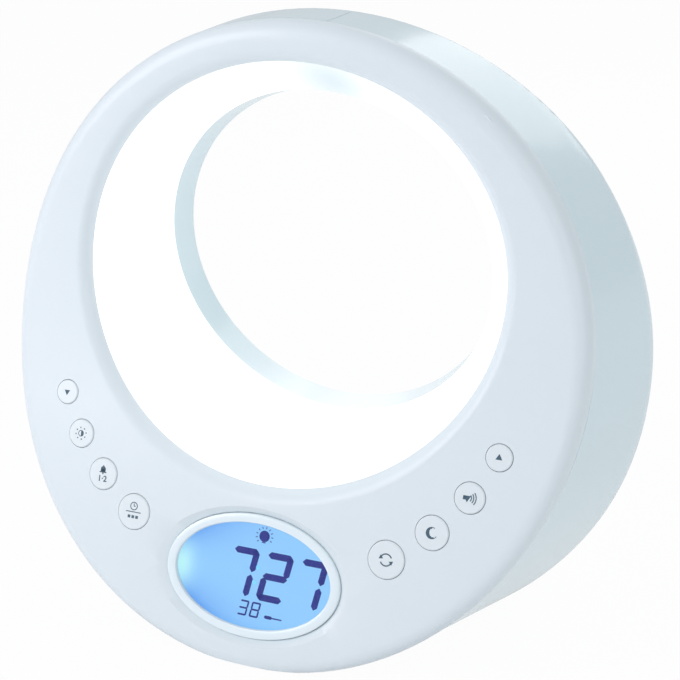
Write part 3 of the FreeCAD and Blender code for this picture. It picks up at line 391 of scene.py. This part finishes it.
def arc_band(drawing, centre, radius, width, start, end):
    """Flat band bent round a centre, from one angle to another in degrees."""
    middle = Vector((*centre, 0))
    verts = bmesh.ops.create_grid(drawing, x_segments=1, y_segments=1, size=0.5)["verts"]
    bmesh.ops.scale(drawing, vec=Vector((width, FILM, 1)), verts=verts)
    stand = Matrix.Translation((radius, 0, FILM / 2)) @ Matrix.Rotation(math.pi / 2, 4, "X")
    aim = Matrix.Translation(middle) @ Matrix.Rotation(math.radians(start), 4, "Z")
    bmesh.ops.transform(drawing, matrix=aim @ stand, verts=verts)
    section = list({face for vert in verts for face in vert.link_faces})
    sweep = abs(end - start)
    whole = sweep >= 360
    bmesh.ops.spin(
        drawing, geom=section, cent=middle, axis=Vector((0, 0, 1)), angle=math.radians(end - start),
        steps=max(6, int(sweep / 12)), use_merge=whole,
    )
    if whole:
        bmesh.ops.delete(drawing, geom=section, context="FACES_ONLY")


SEGMENTS = {"7": "abc", "2": "abged", "3": "abcdg", "8": "abcdefg"}
SLANT = 0.17


def figure(drawing, digit, foot_left, wide, tall, thick):
    """Slanted seven-segment figure standing on its lower left corner."""
    half = tall / 2
    inset = thick / 2
    shrink = thick * 0.2
    rails = {
        "a": ((0, tall - inset), (wide, tall - inset)),
        "g": ((0, half), (wide, half)),
        "d": ((0, inset), (wide, inset)),
        "b": ((wide - inset, half), (wide - inset, tall)),
        "c": ((wide - inset, 0), (wide - inset, half)),
        "e": ((inset, 0), (inset, half)),
        "f": ((inset, half), (inset, tall)),
    }

    def leaned(x, y):
        return foot_left[0] + x + y * SLANT, foot_left[1] + y

    for segment in SEGMENTS[digit]:
        (x0, y0), (x1, y1) = rails[segment]
        if y0 == y1:
            bar(drawing, leaned(x0 + shrink, y0), leaned(x1 - shrink, y1), thick)
        else:
            bar(drawing, leaned(x0, y0 + shrink), leaned(x1, y1 - shrink), thick)


def glowing_ink(name, colour, shade, strength):
    """Ink of the liquid crystal, which lets a little of the backlight through."""
    finish = Finish(name)
    tone = blend_colours(finish, finish.noise(200.0), colour, shade)
    shader = finish.node("BsdfPrincipled", None, {
        "Base Color": tone, "Roughness": 0.3, "Emission Color": tone, "Emission Strength": strength,
    })
    return finish.end(shader)


def lamp_sign(drawing, centre):
    """Round bulb with a foot line and rays over its top."""
    disc(drawing, centre, 1.9)
    first_ray = math.radians(-60) * 0.92 - 1.29
    ray_step = math.radians(30) * 0.92
    for index in range(10):
        turn = first_ray + index * ray_step
        direction = Vector((math.sin(turn), math.cos(turn)))
        bar(drawing, centre + direction * 2.5, centre + direction * 3.2, 0.3, 0.0)
    foot = centre - Vector((0, 2.1))
    bar(drawing, foot - Vector((0.8, 0)), foot + Vector((0.7, 0)), 0.35)


def plug_sign(drawing, left, level):
    """Small audio plug: a short thick grip and a thin pin."""
    grip_end = (left + 2.8, level)
    bar(drawing, (left, level), grip_end, 1.1, 0.3)
    bar(drawing, grip_end, (left + 6.4, level), 0.45, 0.4)


SIGHT_SHIFT = -1.45
FIGURE_PITCH = 12.4
SMALL_FIGURE_PITCH = 4.3
figures = bmesh.new()
for index, digit in enumerate("727"):
    figure(figures, digit, (-9.9 + SIGHT_SHIFT + index * FIGURE_PITCH, -8.1), 9.7, 16.6, 2.25)
for index, digit in enumerate("38"):
    figure(figures, digit, (-3.4 + SIGHT_SHIFT + index * SMALL_FIGURE_PITCH, -14.1), 3.3, 5.2, 0.6)
plug_sign(figures, 6.6 + SIGHT_SHIFT, -13.1)
lamp_sign(figures, Vector((3.3 + SIGHT_SHIFT, 13.2)))
ink = glowing_ink("crystal_ink", (0.004, 0.010, 0.16), (0.006, 0.014, 0.20), 0.6)
settle("display_figures", figures, face_matrix(panel_centre), ink, "case")

colon = bmesh.new()
disc(colon, (2.3 + SIGHT_SHIFT, 2.6), 0.75)
disc(colon, (1.5 + SIGHT_SHIFT, -2.6), 0.75)
idle_ink = glowing_ink("idle_crystal", (0.12, 0.40, 0.66), (0.14, 0.43, 0.70), 1.0)
settle("display_colon", colon, face_matrix(panel_centre), idle_ink, "case")

# Keys. Round satin caps, each with a slightly rounded rim, in holes in the face; the signs are
# printed on the caps in slate blue ink and drawn flat, in millimetres, round each cap's middle.
key_white = moulded("key_white", (0.80, 0.86, 0.895), (0.79, 0.85, 0.885), 0.32, 0.15)


def printed_ink():
    finish = Finish("printed_ink")
    shader = finish.node("BsdfPrincipled", None, {
        "Base Color": blend_colours(finish, finish.noise(400.0), (0.055, 0.11, 0.16), (0.075, 0.135, 0.185)),
        "Roughness": 0.55 + finish.noise(800.0) * 0.1,
    })
    return finish.end(shader)


def lettering(drawing, text, centre, height):
    """Adds plain figures, made flat from the built-in typeface, in the middle of a place."""
    curve = bpy.data.curves.new("figures", "FONT")
    curve.body = text
    curve.size = height
    curve.align_x = "CENTER"
    curve.align_y = "CENTER"
    curve.offset = height * 0.018
    curve.extrude = FILM / 2
    carrier = bpy.data.objects.new("figures", curve)
    mesh = bpy.data.meshes.new_from_object(carrier)
    mesh.transform(Matrix.Translation((*centre, FILM / 2)))
    drawing.from_mesh(mesh)
    bpy.data.objects.remove(carrier)
    bpy.data.meshes.remove(mesh)


TRIANGLE_RADIUS = 1.25


def sign_down(sign):
    disc(sign, (0, 0), TRIANGLE_RADIUS, 3, math.pi)


def sign_up(sign):
    disc(sign, (0, 0), TRIANGLE_RADIUS, 3)


def sign_brightness(sign):
    """Half-filled sun: a ring, three strokes in its right half and eight dots round it."""
    ring_radius = 1.0
    dot_circle = 2.05
    arc_band(sign, (0, 0), ring_radius, 0.22, 0, 360)
    for across in (0.15, 0.4, 0.65):
        half = math.sqrt(ring_radius ** 2 - across ** 2) * 0.95
        bar(sign, (across, -half), (across, half), 0.27, 0.0)
    for index in range(8):
        angle = math.radians(index * 45 + 10)
        disc(sign, (dot_circle * math.cos(angle), dot_circle * math.sin(angle)), 0.24, 12)


def sign_alarm(sign):
    """Bell over the plain figures 1 and 2."""
    rim_level = 0.62
    disc(sign, (0, 1.75), 0.95, 20)
    bar(sign, (0, 0.75), (0, 1.75), 1.9, 0.0)
    bar(sign, (-1.45, rim_level), (1.45, rim_level), 0.36)
    disc(sign, (0, 0.2), 0.3, 12)
    disc(sign, (0, 2.8), 0.26, 12)
    lettering(sign, "1·2", (0, -1.7), 2.9)


def sign_set(sign):
    """Clock over a line and a row of three blocks."""
    clock_level = 1.95
    block_level = -1.7
    arc_band(sign, (0, clock_level), 1.3, 0.3, 0, 360)
    bar(sign, (0, clock_level), (0, clock_level + 0.9), 0.28, 0.0)
    bar(sign, (0, clock_level), (0.65, clock_level), 0.28, 0.0)
    bar(sign, (-2.9, -0.05), (2.9, -0.05), 0.3, 0.0)
    for index in range(3):
        left = -2.0 + index * 1.5
        bar(sign, (left, block_level), (left + 1.0, block_level), 1.0, 0.0)


def sign_mode(sign):
    """Two arrows that chase each other round a circle."""
    circle = 1.9
    for turn in (0, 180):
        arc_band(sign, (0, 0), circle, 0.42, turn + 25, turn + 150)
        tip = math.radians(turn + 160)
        disc(sign, (circle * math.cos(tip), circle * math.sin(tip)), 0.85, 3, tip + math.pi / 2)


def sign_sleep(sign):
    """Crescent moon: short bands along a circle, widest in the middle."""
    bands = 9
    step = 240 / (bands - 1)
    for index in range(bands):
        width = 1.15 * math.sin(math.pi * (index + 0.5) / bands)
        start = 60 + index * step
        arc_band(sign, (0, 0), 1.9 - width / 2, width, start, start + step + 1)


def sign_volume(sign):
    """Loudspeaker with three sound waves."""
    bar(sign, (-2.1, 0), (-1.3, 0), 1.2, 0.0)
    disc(sign, (-0.75, 0), 1.35, 3, math.pi)
    for index in range(3):
        arc_band(sign, (-0.9, 0), 1.5 + index * 0.75, 0.32, -38, 38)


SIGNS = {
    "set": sign_set,
    "alarm": sign_alarm,
    "brightness": sign_brightness,
    "down": sign_down,
    "mode": sign_mode,
    "sleep": sign_sleep,
    "volume": sign_volume,
    "up": sign_up,
}
legend_ink = printed_ink()
for name in SIGNS:
    smoothed(f"key_{name}", f"key_{name}", key_white)
for name, draw_sign in SIGNS.items():
    sign = bmesh.new()
    draw_sign(sign)
    on_cap = face_matrix(top_centre(f"key_{name}"))
    settle(f"legend_{name}", sign, on_cap, legend_ink, f"key_{name}")

# Battery door. A flush hinged door in the leaning back, with a finger notch at its top, moulded
# in a slightly greyer white than the shell round it.
clothe("battery_door", moulded("door_white", (0.70, 0.76, 0.81), (0.68, 0.75, 0.80), 0.28, 0.2))

# Lamp parts. A thin matte white reflector round the funnel, a ring board on posts, and a row of
# small phosphor-yellow chips round it. The other boards are cut from the same green laminate.
clothe("light_reflector", moulded("reflector_white", (0.85, 0.85, 0.84), (0.82, 0.82, 0.82), 0.7, 0.0))


def board_laminate():
    """Green solder mask over a net of paler copper tracks."""
    finish = Finish("board_laminate")
    cells = {"Vector": finish.place(), "Scale": 260.0}
    from_track = finish.node("TexVoronoi", {"feature": "DISTANCE_TO_EDGE"}, cells)
    track = finish.node("Math", {"operation": "LESS_THAN"}, {0: from_track, 1: 0.06})
    shader = finish.node("BsdfPrincipled", None, {
        "Base Color": blend_colours(finish, track, (0.010, 0.09, 0.035), (0.03, 0.17, 0.07)),
        "Roughness": 0.35 + track * 0.15,
    })
    return finish.end(shader)


laminate = board_laminate()
for name in ("led_board", "display_board", "key_board_left", "key_board_right", "snooze_board", "main_board"):
    clothe(name, laminate)


def phosphor():
    finish = Finish("phosphor")
    shader = finish.node("BsdfPrincipled", None, {
        "Base Color": blend_colours(finish, finish.noise(900.0), (0.85, 0.68, 0.12), (0.9, 0.76, 0.22)),
        "Roughness": 0.3,
        "Emission Color": (1.0, 0.97, 0.9, 1),
        "Emission Strength": 0.5,
    })
    return finish.end(shader)


clothe("led_chips", phosphor())

# Display stack. A clear light guide behind the glass, a black holder round both, and two soft
# striped contact strips between the glass and its board. Switches and chips are of like plastic.
clothe("backlight_guide", clear_acrylic("guide_acrylic", (0.9, 0.96, 1.0, 1)))
black_plastic = moulded("black_plastic", (0.02, 0.02, 0.022), (0.03, 0.03, 0.032), 0.45, 0.0)
for name in ("lcd_holder", "key_switches_left", "key_switches_right", "snooze_switch", "main_chips"):
    clothe(name, black_plastic)


def striped_rubber():
    """Silicone rubber in thin layers, black conducting ones between pale ones."""
    finish = Finish("striped_rubber")
    layers = {"Vector": finish.place(), "Scale": 900.0}
    stripes = finish.node("TexWave", {"bands_direction": "X"}, layers)
    shader = finish.node("BsdfPrincipled", None, {
        "Base Color": blend_colours(finish, stripes, (0.02, 0.02, 0.02), (0.5, 0.5, 0.48)),
        "Roughness": 0.8,
    })
    return finish.end(shader)


clothe("zebra_strips", striped_rubber())

# Sockets. Black moulded inlet and audio sockets, soldered to the main board's tongue, with their
# noses in the holes of the back.
socket_black = moulded("socket_black", (0.015, 0.015, 0.016), (0.025, 0.025, 0.027), 0.35, 0.1)
clothe("dc_jack", socket_black)
clothe("aux_jack", socket_black)

# Speaker. A pressed steel basket, a black paper cone glued into its rim, and a dark ferrite magnet
# behind it. It faces out of the clock's back through the slots of the grille.


def plated_steel(name, colour, shade, roughness):
    """Bright plated metal with a very fine brushed grain."""
    finish = Finish(name)
    brushed = finish.noise(1500.0, 2.0)
    shader = finish.node("BsdfPrincipled", None, {
        "Base Color": blend_colours(finish, brushed, colour, shade),
        "Metallic": 1.0,
        "Roughness": roughness + brushed * 0.12,
        "Normal": finish.node("Bump", None, {"Height": brushed, "Strength": 0.2, "Distance": 0.00001}),
    })
    return finish.end(shader)


clothe("speaker_frame", plated_steel("basket_steel", (0.55, 0.55, 0.56), (0.45, 0.45, 0.47), 0.35))
clothe("speaker_cone", moulded("cone_paper", (0.03, 0.03, 0.03), (0.05, 0.05, 0.05), 0.9, 0.0, 0.0001, 700.0))
ferrite = moulded("ferrite", (0.05, 0.05, 0.055), (0.08, 0.08, 0.085), 0.6, 0.0, 0.00008, 900.0)
clothe("speaker_magnet", ferrite)

# Backup cells and contacts. Two cells in plain metal jackets lie between nickel-plated plates, in
# the bay behind the door.
clothe("backup_cells", plated_steel("cell_jacket", (0.35, 0.38, 0.42), (0.30, 0.33, 0.37), 0.3))
clothe("battery_contacts", plated_steel("contact_nickel", (0.72, 0.71, 0.68), (0.62, 0.61, 0.58), 0.25))

# Screws and feet. Zinc-plated cross-head screws deep in the back's holes and on the boards, and
# soft pale rubber pads glued into recesses of the underside.
screw_zinc = plated_steel("screw_zinc", (0.6, 0.6, 0.62), (0.5, 0.5, 0.52), 0.3)
clothe("case_screws", screw_zinc)
clothe("board_screws", screw_zinc)
pad_rubber = moulded("foot_rubber", (0.55, 0.57, 0.59), (0.5, 0.52, 0.54), 0.85, 0.0, 0.00005, 900.0)
clothe("rubber_feet", pad_rubber)

# Floor. A plain white sweep that reaches past the picture on all sides and keeps the clock's soft
# shadow. The camera and clear plastic see it almost white, and polished plastic a little darker.
FLOOR_HALF = 14.0
SEEN_WHITE = 0.965
MIRRORED_WHITE = 0.7


def sweep_white():
    finish = Finish("sweep_white")
    seen = finish.node("LightPath", output="Is Camera Ray")
    mirrored = finish.node("LightPath", output="Is Glossy Ray") * MIRRORED_WHITE
    passing = finish.node("LightPath", output="Is Transmission Ray")
    for ray in (mirrored, passing):
        seen = finish.node("Math", {"operation": "MAXIMUM"}, {0: seen, 1: ray})
    cloud = blend_colours(finish, finish.noise(3.0), (0.82, 0.83, 0.84), (0.80, 0.81, 0.82))
    lit = finish.node("BsdfDiffuse", None, {"Color": cloud})
    bright = finish.node("Emission", None, {"Color": (1, 1, 1, 1), "Strength": 1.0})
    return finish.end(finish.node("MixShader", None, {0: seen * SEEN_WHITE, 1: lit, 2: bright}))


ground = bmesh.new()
bmesh.ops.create_grid(ground, x_segments=1, y_segments=1, size=FLOOR_HALF)
floor_mesh = bpy.data.meshes.new("floor")
ground.to_mesh(floor_mesh)
ground.free()
floor = bpy.data.objects.new("floor", floor_mesh)
bpy.context.collection.objects.link(floor)
floor_mesh.materials.append(sweep_white())

# Light. A broad soft box on the left in front, a weaker one on the right and one behind, in a
# room that lights the clock softly and looks plain white to the camera.


def studio_room():
    room = Finish("studio", bpy.data.worlds.new("studio"))
    soft = room.node("Background", None, {"Color": (0.93, 0.96, 1.0, 1), "Strength": 0.62})
    white = room.node("Background", None, {"Color": (1, 1, 1, 1), "Strength": 1.0})
    seen = room.node("LightPath", output="Is Camera Ray")
    return room.end(room.node("MixShader", None, {0: seen, 1: soft, 2: white}), "OutputWorld")


CLOCK_MIDDLE = Vector((0, 0, 0.1))


def soft_box(name, place, width, power, colour):
    """Square area lamp that faces the clock."""
    lamp = bpy.data.lights.new(name, "AREA")
    lamp.size = width
    lamp.energy = power
    lamp.color = colour
    holder = bpy.data.objects.new(name, lamp)
    bpy.context.collection.objects.link(holder)
    holder.location = place
    holder.rotation_euler = (CLOCK_MIDDLE - Vector(place)).to_track_quat("-Z", "Y").to_euler()


bpy.context.scene.world = studio_room()
soft_box("key_box", (-0.62, -0.6, 0.5), 0.55, 3.6, (1.0, 0.97, 1.0))
soft_box("fill_box", (1.3, -0.8, 0.7), 0.9, 3.0, (0.97, 1.0, 1.0))
soft_box("back_box", (0.3, 1.2, 1.0), 1.0, 4.0, (1.0, 1.0, 1.0))

# Camera. It stands to the right of the clock and above it, as in the photograph, close enough
# that the near side of the clock looks clearly larger than the far one.
AZIMUTH = math.radians(22.46)
ELEVATION = math.radians(19.09)
ROLL = math.radians(-0.66)
DISTANCE = 0.3792
AIM = Vector((0.0263, -0.0304, 0.1094))
back_ray = Vector((
    math.sin(AZIMUTH) * math.cos(ELEVATION),
    -math.cos(AZIMUTH) * math.cos(ELEVATION),
    math.sin(ELEVATION),
))
camera_data = bpy.data.cameras.new("camera")
camera_data.sensor_width = 36.0
camera_data.lens = 64.33
camera_data.clip_start = 0.01
camera = bpy.data.objects.new("camera", camera_data)
bpy.context.collection.objects.link(camera)
camera.location = AIM + back_ray * DISTANCE
camera.rotation_mode = "QUATERNION"
upright = (-back_ray).to_track_quat("-Z", "Y")
camera.rotation_quaternion = upright @ Matrix.Rotation(ROLL, 4, "Z").to_quaternion()
bpy.context.scene.camera = camera
bpy.context.scene.view_settings.view_transform = "Standard"
